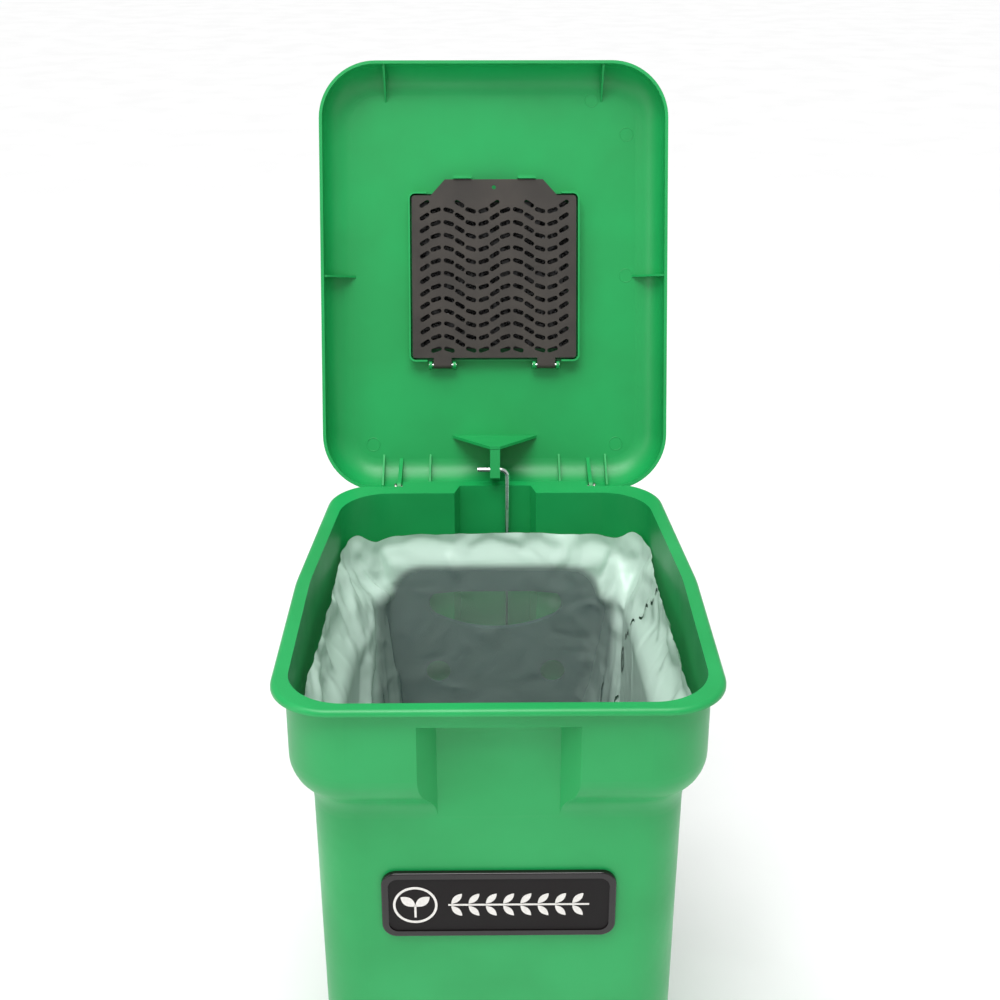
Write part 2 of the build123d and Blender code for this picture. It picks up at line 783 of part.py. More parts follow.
# --- Name plate ----------------------------------------------------------------------------------------
badge_width = 153.0
badge_height = 51.0
badge_z = 300.5
badge_tilt = degrees(atan2(draft_inset, shoulder_bottom - skirt_bottom))
badge_face_y = body_front_y + draft_inset * (shoulder_bottom - badge_z) / (shoulder_bottom - skirt_bottom)
badge_plane = Plane(
    origin=(0, badge_face_y, badge_z), x_dir=(1, 0, 0),
    z_dir=(0, -cos(radians(badge_tilt)), -sin(radians(badge_tilt))),
)

with BuildPart() as badge_frame:
    with BuildSketch(badge_plane.offset(0.15)):
        RectangleRounded(badge_width, badge_height, 10)
    extrude(amount=3.4)
    fillet(badge_frame.faces().sort_by(Axis.Y)[0].outer_wire().edges(), 1.2)
    with BuildSketch(badge_plane.offset(2.2)):
        RectangleRounded(badge_width - 9, badge_height - 9, 6.5)
    extrude(amount=2, mode=Mode.SUBTRACT)
badge_frame.part.label = "badge_frame"
export_step(badge_frame.part, "parts/badge_frame.step")

with BuildPart() as badge_panel:
    with BuildSketch(badge_plane.offset(2.2)):
        RectangleRounded(badge_width - 9.4, badge_height - 9.4, 6.3)
    extrude(amount=0.5)
badge_panel.part.label = "badge_panel"
export_step(badge_panel.part, "parts/badge_panel.step")

with BuildPart() as badge_emblem:
    with BuildSketch(badge_plane.offset(2.7)):
        with Locations((-54.5, 0)):
            Circle(14.5)
            Circle(12.5, mode=Mode.SUBTRACT)
            Circle(8.5)
    extrude(amount=0.5)
badge_emblem.part.label = "badge_emblem"
export_step(badge_emblem.part, "parts/badge_emblem.step")

with BuildPart() as badge_marks:
    with BuildSketch(badge_plane.offset(2.7)):
        with Locations((13, 6), (13, -6)):
            SlotOverall(92, 5)
    extrude(amount=0.5)
badge_marks.part.label = "badge_marks"
export_step(badge_marks.part, "parts/badge_marks.step")
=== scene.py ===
"""Finishes, liner film, filter granules, name plate art and studio for a lidded compost bin.

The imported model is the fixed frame. Each operator dresses one group of its parts or adds the
pieces that are made as meshes: the hanging liner film, the print on it, the carbon granules
behind the grille, the moulding marks in the lid and the generic art on the name plate.
"""

import json
import math
import random

import bmesh
import bpy
from bpy.props import FloatProperty, FloatVectorProperty, IntProperty, PointerProperty
from mathutils import Matrix, Vector, noise
from mathutils.bvhtree import BVHTree


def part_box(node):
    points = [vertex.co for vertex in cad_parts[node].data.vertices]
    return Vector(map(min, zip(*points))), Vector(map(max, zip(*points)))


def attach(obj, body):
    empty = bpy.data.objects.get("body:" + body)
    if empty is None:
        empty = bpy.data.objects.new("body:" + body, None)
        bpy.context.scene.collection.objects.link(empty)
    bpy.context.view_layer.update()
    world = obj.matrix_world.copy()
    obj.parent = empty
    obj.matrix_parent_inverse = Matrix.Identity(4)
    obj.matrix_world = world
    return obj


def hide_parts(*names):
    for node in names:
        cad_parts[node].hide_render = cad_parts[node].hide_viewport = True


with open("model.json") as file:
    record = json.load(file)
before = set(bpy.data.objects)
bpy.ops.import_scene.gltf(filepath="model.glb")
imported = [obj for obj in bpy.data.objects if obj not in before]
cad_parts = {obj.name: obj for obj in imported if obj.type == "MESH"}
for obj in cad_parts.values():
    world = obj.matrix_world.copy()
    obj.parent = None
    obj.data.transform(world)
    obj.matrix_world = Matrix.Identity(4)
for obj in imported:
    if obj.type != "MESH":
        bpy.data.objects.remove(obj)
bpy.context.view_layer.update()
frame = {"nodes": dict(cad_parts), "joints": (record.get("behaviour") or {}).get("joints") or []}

bl_info = {
    "name": "Compost Bin Dressing",
    "version": (1, 0, 0),
    "blender": (4, 5, 0),
    "location": "View3D > Sidebar > Compost Bin",
    "description": "Dresses the packed frame of a lidded kitchen compost bin",
    "category": "Object",
}

MM = 0.001
SEED = 11

# Where the parts stand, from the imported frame.
BIN_LOW, BIN_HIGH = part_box("outer_bin")
BUCKET_LOW, BUCKET_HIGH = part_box("inner_bucket")
FILTER_LOW, FILTER_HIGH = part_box("carbon_filter")
PANEL_LOW, PANEL_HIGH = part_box("badge_panel")
EMBLEM_LOW, EMBLEM_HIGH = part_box("badge_emblem")
MARKS_LOW, MARKS_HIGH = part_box("badge_marks")
LINER_LOW, LINER_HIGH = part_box("liner_bag")

LID_LEAN = math.radians(17.2)  # how far the open lid leans back
LID_UP = Vector((0, math.sin(LID_LEAN), math.cos(LID_LEAN)))
LID_OUT = Vector((0, -math.cos(LID_LEAN), math.sin(LID_LEAN)))
LID_FACE = -32 * MM  # the lid's inner face, from the hinge axis along LID_OUT
FRONT_DRAFT = math.atan2(3.0, 372.0)  # lean of the front wall that carries the name plate
PRINT_LIFT = 0.35 * MM


def srgb(code):
    """Linear colour of an sRGB hex code."""
    channels = [int(code[i : i + 2], 16) / 255 for i in (1, 3, 5)]
    return tuple(c / 12.92 if c <= 0.04045 else ((c + 0.055) / 1.055) ** 2.4 for c in channels)


# ---------------------------------------------------------------------------- settings


class FinishSettings(bpy.types.PropertyGroup):
    """Colours and grain of the bin's own materials."""

    green: FloatVectorProperty(
        name="Green", description="Colour of the moulded green plastic",
        subtype="COLOR", size=3, min=0, max=1, default=srgb("#17A154"),
    )
    green_deep: FloatVectorProperty(
        name="Deep green", description="Darker flow shade in the green plastic",
        subtype="COLOR", size=3, min=0, max=1, default=srgb("#12984D"),
    )
    bucket: FloatVectorProperty(
        name="Bucket", description="Colour of the slate bucket",
        subtype="COLOR", size=3, min=0, max=1, default=srgb("#35424F"),
    )
    charcoal: FloatVectorProperty(
        name="Charcoal", description="Colour of the filter cover",
        subtype="COLOR", size=3, min=0, max=1, default=srgb("#322E2A"),
    )
    film: FloatVectorProperty(
        name="Film", description="Colour of the liner film",
        subtype="COLOR", size=3, min=0, max=1, default=srgb("#DDF5E9"),
    )
    grain: FloatProperty(
        name="Grain", description="Spacing of the spark-eroded grain on moulded plastic",
        subtype="DISTANCE", default=0.7 * MM, min=0.1 * MM,
    )


class LinerSettings(bpy.types.PropertyGroup):
    """Sizes of the hanging liner film."""

    columns: IntProperty(name="Columns", description="Film columns round the bag", default=216, min=24)
    rows: IntProperty(name="Rows", description="Film rows from its edge to the floor", default=64, min=12)
    top: FloatProperty(
        name="Top", description="Mean height of the film's edge",
        subtype="DISTANCE", default=LINER_HIGH.z,
    )
    slack: FloatProperty(
        name="Slack", description="Spare length of film, as a share", default=0.055, min=0, max=0.2,
    )
    frames: IntProperty(name="Frames", description="Steps of the cloth simulation", default=26, min=2)


class FilterSettings(bpy.types.PropertyGroup):
    """Sizes of the carbon granules."""

    granule: FloatProperty(
        name="Granule", description="Mean size of a carbon granule",
        subtype="DISTANCE", default=4.2 * MM, min=MM,
    )
    count: IntProperty(
        name="Count", description="Number of granules in the front layer", default=1500, min=10,
    )


class StudioSettings(bpy.types.PropertyGroup):
    """Camera and light."""

    eye: FloatVectorProperty(
        name="Eye", description="Where the camera stands",
        subtype="TRANSLATION", size=3, default=(-0.0070, -0.9052, 0.9306),
    )
    pitch: FloatProperty(
        name="Pitch", description="How far the camera looks down",
        subtype="ANGLE", default=math.radians(21.91),
    )
    yaw: FloatProperty(
        name="Yaw", description="How far the camera turns to the right",
        subtype="ANGLE", default=math.radians(0.59),
    )
    lens: FloatProperty(
        name="Lens", description="Focal length in millimetres", default=51.54, min=1,
    )
    shift: FloatProperty(
        name="Shift", description="Vertical lens shift, for the framing", default=-0.06,
    )
    sky: FloatProperty(
        name="Sky", description="Strength of the even surrounding light", default=0.46, min=0,
    )
    ceiling: FloatProperty(
        name="Ceiling", description="Strength of the light silk overhead", default=2.0, min=0,
    )


# ---------------------------------------------------------------------------- materials


def add_node(tree, kind, values=None, links=None):
    """Add a node; values sets its properties and sockets, and links feeds its sockets."""
    node = tree.nodes.new(kind)
    for key, value in (values or {}).items():
        if isinstance(key, str) and hasattr(node, key):
            setattr(node, key, value)
        else:
            node.inputs[key].default_value = value
    for key, source in (links or {}).items():
        tree.links.new(source, node.inputs[key])
    return node


def opaque(colour):
    """Colour with full alpha, as sockets take it."""
    return (*colour[:3], 1.0)


def new_material(name):
    """An empty node material and its output node."""
    material = bpy.data.materials.new(name)
    material.use_nodes = True
    material.node_tree.nodes.clear()
    output = add_node(material.node_tree, "ShaderNodeOutputMaterial")
    return material, material.node_tree, output


def mottled(tree, first, second, size, low=0.35, high=0.65, detail=3.0):
    """Colour that drifts from first to second over patches of the given size in metres."""
    place = add_node(tree, "ShaderNodeTexCoord")
    cloud = add_node(
        tree, "ShaderNodeTexNoise", {"Scale": 1 / size, "Detail": detail}, {"Vector": place.outputs["Object"]}
    )
    ramp = add_node(
        tree, "ShaderNodeMapRange", {"From Min": low, "From Max": high},
        {"Value": cloud.outputs["Fac"]},
    )
    blend = add_node(
        tree, "ShaderNodeMix", {"data_type": "RGBA", 6: opaque(first), 7: opaque(second)},
        {0: ramp.outputs["Result"]},
    )
    return blend.outputs[2], place, ramp.outputs["Result"]


def grain_bump(tree, place, spacing, depth, strength=1.0, feed=None):
    """Bump of fine rounded grain with the given spacing and depth in metres."""
    pits = add_node(
        tree, "ShaderNodeTexNoise", {"Scale": 1 / spacing, "Detail": 2.0, "Roughness": 0.55},
        {"Vector": place.outputs["Object"]},
    )
    links = {"Height": pits.outputs["Fac"]}
    if feed is not None:
        links["Normal"] = feed
    bump = add_node(tree, "ShaderNodeBump", {"Strength": strength, "Distance": depth}, links)
    return bump.outputs["Normal"]


def ranged(tree, source, low, high):
    """The 0 to 1 source spread over low to high."""
    spread = add_node(tree, "ShaderNodeMapRange", {"To Min": low, "To Max": high}, {"Value": source})
    return spread.outputs["Result"]


def green_polypropylene(settings):
    """Injection-moulded polypropylene, spark-eroded tool: satin, slightly uneven sheen, faint flow shade."""
    material, tree, output = new_material("green_moulded_polypropylene")
    colour, place, patch = mottled(tree, settings.green, settings.green_deep, 70 * MM)
    waviness = add_node(
        tree, "ShaderNodeTexNoise", {"Scale": 1 / (45 * MM), "Detail": 1.0},
        {"Vector": place.outputs["Object"]},
    )
    broad = add_node(
        tree, "ShaderNodeBump", {"Strength": 1.0, "Distance": 0.25 * MM}, {"Height": waviness.outputs["Fac"]}
    )
    normal = grain_bump(tree, place, settings.grain, 0.020 * MM, 1.0, broad.outputs["Normal"])
    shader = add_node(
        tree, "ShaderNodeBsdfPrincipled", {"IOR": 1.49},
        {"Base Color": colour, "Roughness": ranged(tree, patch, 0.36, 0.44), "Normal": normal},
    )
    tree.links.new(shader.outputs["BSDF"], output.inputs["Surface"])
    return material


def textured_plastic(name, colour, shade, roughness, spacing, depth, shine=0.5):
    """Moulded plastic with a visible tool grain, and patches where handling has polished it."""
    material, tree, output = new_material(name)
    tint, place, patch = mottled(tree, colour, shade, 25 * MM)
    normal = grain_bump(tree, place, spacing, depth)
    shader = add_node(
        tree, "ShaderNodeBsdfPrincipled", {"IOR": 1.49, "Specular IOR Level": shine},
        {"Base Color": tint, "Roughness": ranged(tree, patch, roughness, roughness + 0.1), "Normal": normal},
    )
    tree.links.new(shader.outputs["BSDF"], output.inputs["Surface"])
    return material


def metal(name, colour, shade, roughness, spacing, depth, patch_size):
    """Plated or drawn steel: mirror-like, with drawing lines or zinc spangle from the given spacing."""
    material, tree, output = new_material(name)
    tint, place, patch = mottled(tree, colour, shade, patch_size)
    normal = grain_bump(tree, place, spacing, depth)
    shader = add_node(
        tree, "ShaderNodeBsdfPrincipled", {"Metallic": 1.0},
        {"Base Color": tint, "Roughness": ranged(tree, patch, roughness, roughness + 0.12), "Normal": normal},
    )
    tree.links.new(shader.outputs["BSDF"], output.inputs["Surface"])
    return material


def starch_film(settings):
    """Blown film of a starch and polyester blend: milky where it stands free, clearer where it
    lies against a wall, soft gloss, white along its sharp creases, partly stress whitening and partly a
    painted highlight; milkier on its side panels as painted light."""
    material, tree, output = new_material("blown_compostable_film")
    place = add_node(tree, "ShaderNodeTexCoord")
    creases = add_node(
        tree, "ShaderNodeTexNoise",
        {"noise_type": "RIDGED_MULTIFRACTAL", "Scale": 1 / (28 * MM), "Detail": 6.0, "Roughness": 0.62,
         "Distortion": 0.6},
        {"Vector": place.outputs["Object"]},
    )
    crease_rise = add_node(
        tree, "ShaderNodeBump", {"Strength": 1.0, "Distance": 2.6 * MM}, {"Height": creases.outputs["Fac"]}
    )
    # Whiter, more opaque film on the crease ridges: partly stress whitening, partly a painted highlight along
    # the creases.
    lines = add_node(
        tree, "ShaderNodeMapRange", {"From Min": 0.9, "From Max": 1.5, "To Min": 0.0, "To Max": 0.22},
        {"Value": creases.outputs["Fac"]},
    )
    # Milkiness read from the mesh: haze where the film stands off its wall, and painted light on its side
    # panels.
    haze = add_node(tree, "ShaderNodeAttribute", {"attribute_name": "stand_off_and_painted_side_light"})
    milk = ranged(tree, haze.outputs["Fac"], 0.26, 0.92)
    cover = add_node(
        tree, "ShaderNodeMath", {"operation": "ADD", "use_clamp": True}, {0: milk, 1: lines.outputs["Result"]}
    )
    surface = add_node(
        tree, "ShaderNodeBsdfPrincipled",
        {"Base Color": opaque(settings.film), "Roughness": 0.27, "IOR": 1.5},
        {"Normal": crease_rise.outputs["Normal"]},
    )
    glow = add_node(
        tree, "ShaderNodeBsdfTranslucent", {"Color": opaque(settings.film)},
        {"Normal": crease_rise.outputs["Normal"]},
    )
    body = add_node(
        tree, "ShaderNodeMixShader", {0: 0.18}, {1: surface.outputs["BSDF"], 2: glow.outputs["BSDF"]}
    )
    clear = add_node(tree, "ShaderNodeBsdfTransparent", {"Color": (0.93, 0.98, 0.94, 1)})
    film = add_node(
        tree, "ShaderNodeMixShader", None,
        {0: cover.outputs["Value"], 1: clear.outputs["BSDF"], 2: body.outputs["Shader"]},
    )
    tree.links.new(film.outputs["Shader"], output.inputs["Surface"])
    return material


def granular_carbon():
    """Steam-activated coconut carbon: black grains with a dull glint and brown-grey dust."""
    material, tree, output = new_material("granular_activated_carbon")
    tint, place, patch = mottled(tree, srgb("#17181A"), srgb("#3A3835"), 3 * MM, 0.45, 0.75)
    normal = grain_bump(tree, place, 0.9 * MM, 0.15 * MM)
    shader = add_node(
        tree, "ShaderNodeBsdfPrincipled", {"IOR": 1.6},
        {"Base Color": tint, "Roughness": ranged(tree, patch, 0.32, 0.8), "Normal": normal},
    )
    tree.links.new(shader.outputs["BSDF"], output.inputs["Surface"])
    return material


def ink(name, colour, shade):
    """Screen-printed ink: flat and matt, with slightly uneven cover."""
    material, tree, output = new_material(name)
    tint, place, patch = mottled(tree, colour, shade, 2 * MM)
    shader = add_node(
        tree, "ShaderNodeBsdfPrincipled", {"IOR": 1.5},
        {"Base Color": tint, "Roughness": ranged(tree, patch, 0.4, 0.55),
         "Normal": grain_bump(tree, place, 0.8 * MM, 0.01 * MM)},
    )
    tree.links.new(shader.outputs["BSDF"], output.inputs["Surface"])
    return material


def studio_card():
    """Matt white card: even and bright, with barely uneven sheen."""
    material, tree, output = new_material("matt_white_card")
    tint, place, patch = mottled(tree, srgb("#FAFAFA"), srgb("#F5F5F5"), 200 * MM)
    shader = add_node(
        tree, "ShaderNodeBsdfPrincipled", {"IOR": 1.5, "Specular IOR Level": 0.1},
        {"Base Color": tint, "Roughness": ranged(tree, patch, 0.85, 0.95)},
    )
    tree.links.new(shader.outputs["BSDF"], output.inputs["Surface"])
    return material


def coat(material, names):
    """Give every slot of the named frame parts this material."""
    for name in names:
        mesh = frame["nodes"][name].data
        if not mesh.materials:
            mesh.materials.append(material)
        for index in range(len(mesh.materials)):
            mesh.materials[index] = material


# ---------------------------------------------------------------------------- mesh helpers


def mesh_piece(name, bm, material, body, smooth=True):
    """Turn bm into an object that wears material and rides on body."""
    mesh = bpy.data.meshes.new(name)
    bm.to_mesh(mesh)
    bm.free()
    for face in mesh.polygons:
        face.use_smooth = smooth
    piece = bpy.data.objects.new(name, mesh)
    bpy.context.scene.collection.objects.link(piece)
    mesh.materials.append(material)
    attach(piece, body)
    return piece


def smoothstep(low, high, value):
    """0 below low, 1 above high, eased between."""
    t = min(max((value - low) / (high - low), 0.0), 1.0)
    return t * t * (3 - 2 * t)


def mix(a, b, t):
    """Straight blend of two numbers."""
    return a + (b - a) * t


def ribbon(bm, path, width, normal_at, closed=False):
    """Flat strip along path, turned to face normal_at(point)."""
    count = len(path)
    rows = []
    for i, point in enumerate(path):
        before = path[(i - 1) % count if closed else max(i - 1, 0)]
        after = path[(i + 1) % count if closed else min(i + 1, count - 1)]
        side = (after - before).cross(normal_at(point)).normalized() * (width(i / (count - 1)) / 2)
        rows.append((bm.verts.new(point - side), bm.verts.new(point + side)))
    pairs = list(zip(rows, rows[1:]))
    if closed:
        pairs.append((rows[-1], rows[0]))
    for (a, b), (c, d) in pairs:
        bm.faces.new((a, b, d, c))


# ---------------------------------------------------------------------------- liner film

COLLAR_HALF = BIN_HIGH.x - 12 * MM  # inner face of the collar at the film's edge
COLLAR_REAR_HALF = 0.1215
FILM_REAR = 0.1405  # the film's rear limit inside the collar
FILM_FRONT = -0.1435  # just behind the grip recess
BUCKET_FRONT_HALF, BUCKET_REAR_HALF = 0.113, 0.104  # half widths of the bucket at its rim
BUCKET_FRONT, BUCKET_REAR = -0.140, 0.133
CORNER = 0.026
BUCKET_WALL = 2.2 * MM
BUCKET_RIM = 0.376
TAB_TOP = BUCKET_HIGH.z
TAB_HALF = 83 * MM
TAB_ROUND = 26 * MM  # radius of the clear area's upper corners, over the tab
TAB_FACE = 0.1308  # inner face of the bucket's raised rear tab
BUCKET_FLOOR = BUCKET_LOW.z + 2.5 * MM
FLOOR_DRAFT = 9 * MM  # the bucket is this much narrower on each side at its floor
REST_GAP = 1.0 * MM  # film stays this far from what it lies on


def room_at(z):
    """What is open to the film at height z: front half width, rear half width, front y, rear y, radius."""
    draft = FLOOR_DRAFT * min(max((BUCKET_RIM - z) / (BUCKET_RIM - BUCKET_LOW.z), 0), 1)
    wall = BUCKET_WALL + REST_GAP + draft
    bucket = (
        BUCKET_FRONT_HALF - wall, BUCKET_REAR_HALF - wall, BUCKET_FRONT + wall, BUCKET_REAR - wall, CORNER,
    )
    flare = smoothstep(BUCKET_RIM + 2 * MM, BUCKET_RIM + 40 * MM, z)
    collar = (COLLAR_HALF - 2 * MM, COLLAR_REAR_HALF, FILM_FRONT, FILM_REAR, CORNER)
    return [mix(a, b, flare) for a, b in zip(bucket, collar)]


def off_tab(x, z):
    """0 where the film lies on the bucket's raised rear tab, rising to 1 beside and above it."""
    return max(
        smoothstep(TAB_HALF, TAB_HALF + 16 * MM, abs(x)),
        smoothstep(TAB_TOP - 2 * MM, TAB_TOP + 24 * MM, z),
    )


def outline_point(share, room):
    """Point at share 0..1 of the way round the rounded outline, from the middle of its rear edge."""
    front_half, rear_half, front_y, rear_y, radius = room
    corners = [
        (rear_half, rear_y), (front_half, front_y), (-front_half, front_y), (-rear_half, rear_y),
    ]
    weights = [rear_half, rear_y - front_y, 2 * front_half, rear_y - front_y, rear_half]
    start = Vector((0.0, rear_y))
    stops = [start] + [Vector(c) for c in corners] + [start]
    along = share * sum(weights)
    for i, length in enumerate(weights):
        if along <= length or i == len(weights) - 1:
            break
        along -= length
    a, b = stops[i], stops[i + 1]
    point = a + (b - a) * (along / length)
    # Round the corners by pulling a point near a corner towards the corner's arc.
    for cx, cy in corners:
        side, end = math.copysign(1, cx), math.copysign(1, cy - (front_y + rear_y) / 2)
        inner = Vector((cx - radius * side, cy - radius * end))
        dx = (point.x - inner.x) * side
        dy = (point.y - inner.y) * end
        if dx > 0 and dy > 0:
            reach = math.hypot(dx, dy)
            if reach > radius:
                point = inner + (point - inner) * (radius / reach)
    return point


def clamp_inside(point, room):
    """Move a point that has left the open room back to its edge; returns it and its gap to the edge."""
    front_half, rear_half, front_y, rear_y, radius = room
    t = min(max((point.y - front_y) / (rear_y - front_y), 0), 1)
    half = mix(front_half, rear_half, t)
    middle = (front_y + rear_y) / 2
    dx = abs(point.x) - (half - radius)
    dy = abs(point.y - middle) - ((rear_y - front_y) / 2 - radius)
    if dx > 0 and dy > 0:
        gap = radius - math.hypot(dx, dy)
        direction = Vector((dx * math.copysign(1, point.x), dy * math.copysign(1, point.y - middle)))
    elif dx > dy:
        gap = radius - dx
        direction = Vector((math.copysign(1, point.x), 0))
    else:
        gap = radius - dy
        direction = Vector((0, math.copysign(1, point.y - middle)))
    if gap < 0:
        point = point + direction.normalized() * gap
        gap = 0
    return point, gap


def film_edge(share, top):
    """Height of the film's edge: nearly level, with soft waves and a raised tuck at each rear corner."""
    turn = share * math.tau
    wave = 1.6 * math.sin(3 * turn + 0.8) + 1.3 * math.sin(7 * turn + 2.1) + 0.9 * math.sin(12 * turn)
    rear = max(0.0, 1 - min(abs(share - 0.115), abs(share - 0.885)) / 0.022)
    dip = max(0.0, 1 - min(abs(share - 0.094), abs(share - 0.906)) / 0.014)
    front = smoothstep(0.30, 0.42, min(share, 1 - share))
    return top + (wave * (0.5 + front) - 4.0 + 6.0 * rear - 4.0 * dip + 4.0 * front) * MM


def bag_grid(settings):
    """The film before it settles: open bag, gathered slightly at its rear corners."""
    bm = bmesh.new()
    columns, rows = settings.columns, settings.rows
    rings = []
    for row in range(rows + 1):
        depth = row / rows
        ring = []
        for column in range(columns):
            share = column / columns
            top = film_edge(share, settings.top)
            z = mix(top, BUCKET_FLOOR + 3 * MM, depth)
            room = room_at(z)
            point = outline_point(share, room)
            inward = Vector((-point.x, -(point.y + 0.005))).normalized()
            tuck = max(0.0, 1 - min(abs(share - 0.105), abs(share - 0.895)) / 0.02)
            drift = noise.noise(Vector((point.x, point.y, z * 0.45)) / (38 * MM) + Vector((SEED, 0, 0)))
            pull = 1.5 + 2.2 * (drift + 0.4) + 7.0 * tuck * (1 - depth) ** 2
            tab = 1 - off_tab(point.x, z)
            if point.y > 0.05 and z > BUCKET_RIM - 6 * MM:
                pull = max(pull, (point.y - (TAB_FACE - REST_GAP)) / MM * tab)
            point = point + inward * pull * MM
            ring.append(bm.verts.new((point.x, point.y, z)))
        rings.append(ring)
    floor_rings = 9
    base = rings[-1]
    centre = Vector((0, -0.004, BUCKET_FLOOR + 1.5 * MM))
    for step in range(1, floor_rings):
        ring = []
        for vert in base:
            place = vert.co.lerp(centre, step / floor_rings)
            ring.append(bm.verts.new((place.x, place.y, BUCKET_FLOOR + 1.5 * MM)))
        rings.append(ring)
    for above, below in zip(rings, rings[1:]):
        for i in range(columns):
            j = (i + 1) % columns
            bm.faces.new((above[i], above[j], below[j], below[i]))
    hub = bm.verts.new(centre)
    last = rings[-1]
    for i in range(columns):
        bm.faces.new((last[i], last[(i + 1) % columns], hub))
    return bm


def settle(piece, settings):
    """Let the film find its folds: it has slack, hangs from its edge and crumples as it settles."""
    pins = piece.vertex_groups.new(name="held")
    edge = list(range(settings.columns))
    pins.add(edge, 1.0, "REPLACE")
    floor_z = BUCKET_FLOOR + 2 * MM
    pins.add([v.index for v in piece.data.vertices if v.co.z < floor_z], 1.0, "REPLACE")
    cloth = piece.modifiers.new("film", "CLOTH")
    cloth.settings.quality = 5
    cloth.settings.mass = 0.04
    cloth.settings.tension_stiffness = 30
    cloth.settings.compression_stiffness = 30
    cloth.settings.shear_stiffness = 12
    cloth.settings.bending_stiffness = 0.03
    cloth.settings.shrink_min = -settings.slack
    cloth.settings.vertex_group_mass = "held"
    cloth.settings.effector_weights.gravity = 0.25
    cloth.collision_settings.use_collision = False
    cloth.collision_settings.use_self_collision = False
    cloth.point_cache.frame_start = 1
    cloth.point_cache.frame_end = settings.frames
    scene = bpy.context.scene
    for step in range(1, settings.frames + 1):
        scene.frame_set(step)
    settled = bpy.data.meshes.new_from_object(piece.evaluated_get(bpy.context.evaluated_depsgraph_get()))
    piece.modifiers.remove(cloth)
    scene.frame_set(1)
    piece.vertex_groups.clear()
    return settled


def crumple(piece):
    """Press the film back inside its room, add fine creases, and note where it is milky: where it
    stands off its wall, above and beside the bucket's tab, and on its side panels, where the milkiness is
    painted light."""
    mesh = piece.data
    marks = mesh.attributes.new("stand_off_and_painted_side_light", "FLOAT", "POINT")
    normals = [vert.normal.copy() for vert in mesh.vertices]
    for vert, normal in zip(mesh.vertices, normals):
        co = vert.co
        free = smoothstep(BUCKET_FLOOR + 4 * MM, BUCKET_FLOOR + 30 * MM, co.z)
        spot = Vector((co.x, co.y, co.z * 0.7))
        ridge = abs(noise.noise(spot / (30 * MM) + Vector((3, SEED, 0))))
        small = abs(noise.noise(spot / (11 * MM) + Vector((0, 5, SEED))))
        lift = (4.2 * min(ridge, 0.45) + 1.3 * small - 0.9) * free * MM
        co = co + normal * lift
        flat, gap = clamp_inside(Vector((co.x, co.y)), room_at(co.z))
        reach = off_tab(co.x, co.z)
        limit = mix(TAB_FACE - REST_GAP, FILM_REAR, reach)
        over_tab = reach < 1 and co.y > 0.1 and co.z > BUCKET_RIM - 6 * MM
        if over_tab:
            gap = min(gap, max(limit - co.y, 0))
            flat.y = min(flat.y, limit)
        vert.co = (flat.x, flat.y, max(co.z, BUCKET_FLOOR + REST_GAP))
        above = smoothstep(BUCKET_RIM - 4 * MM, BUCKET_RIM + 14 * MM, co.z)
        bare = 1.0
        if co.y > 0.1:
            corner = math.hypot(max(abs(co.x) - TAB_HALF + TAB_ROUND, 0), max(co.z - TAB_TOP + TAB_ROUND, 0))
            bare = smoothstep(TAB_ROUND - 3 * MM, TAB_ROUND + 5 * MM, corner)
        # The side panels are made milkier as painted light, standing in for the bright light from above on
        # film seen edge-on.
        side = smoothstep(0.090, 0.098, abs(co.x))
        stand = max(smoothstep(1 * MM, 14 * MM, gap) * 0.28, above * bare, side * 0.9)
        marks.data[vert.index].value = stand


def leaf_outline(length, width, points=28):
    """Closed outline of a pointed leaf along +v, centred on the origin."""
    half = points // 2
    path = []
    for side in (1, -1):
        for i in range(half):
            t = i / half if side == 1 else 1 - i / half
            path.append((side * width / 2 * math.sin(math.pi * t) ** 0.85, length * (t - 0.5)))
    return path


# ---------------------------------------------------------------------------- operators


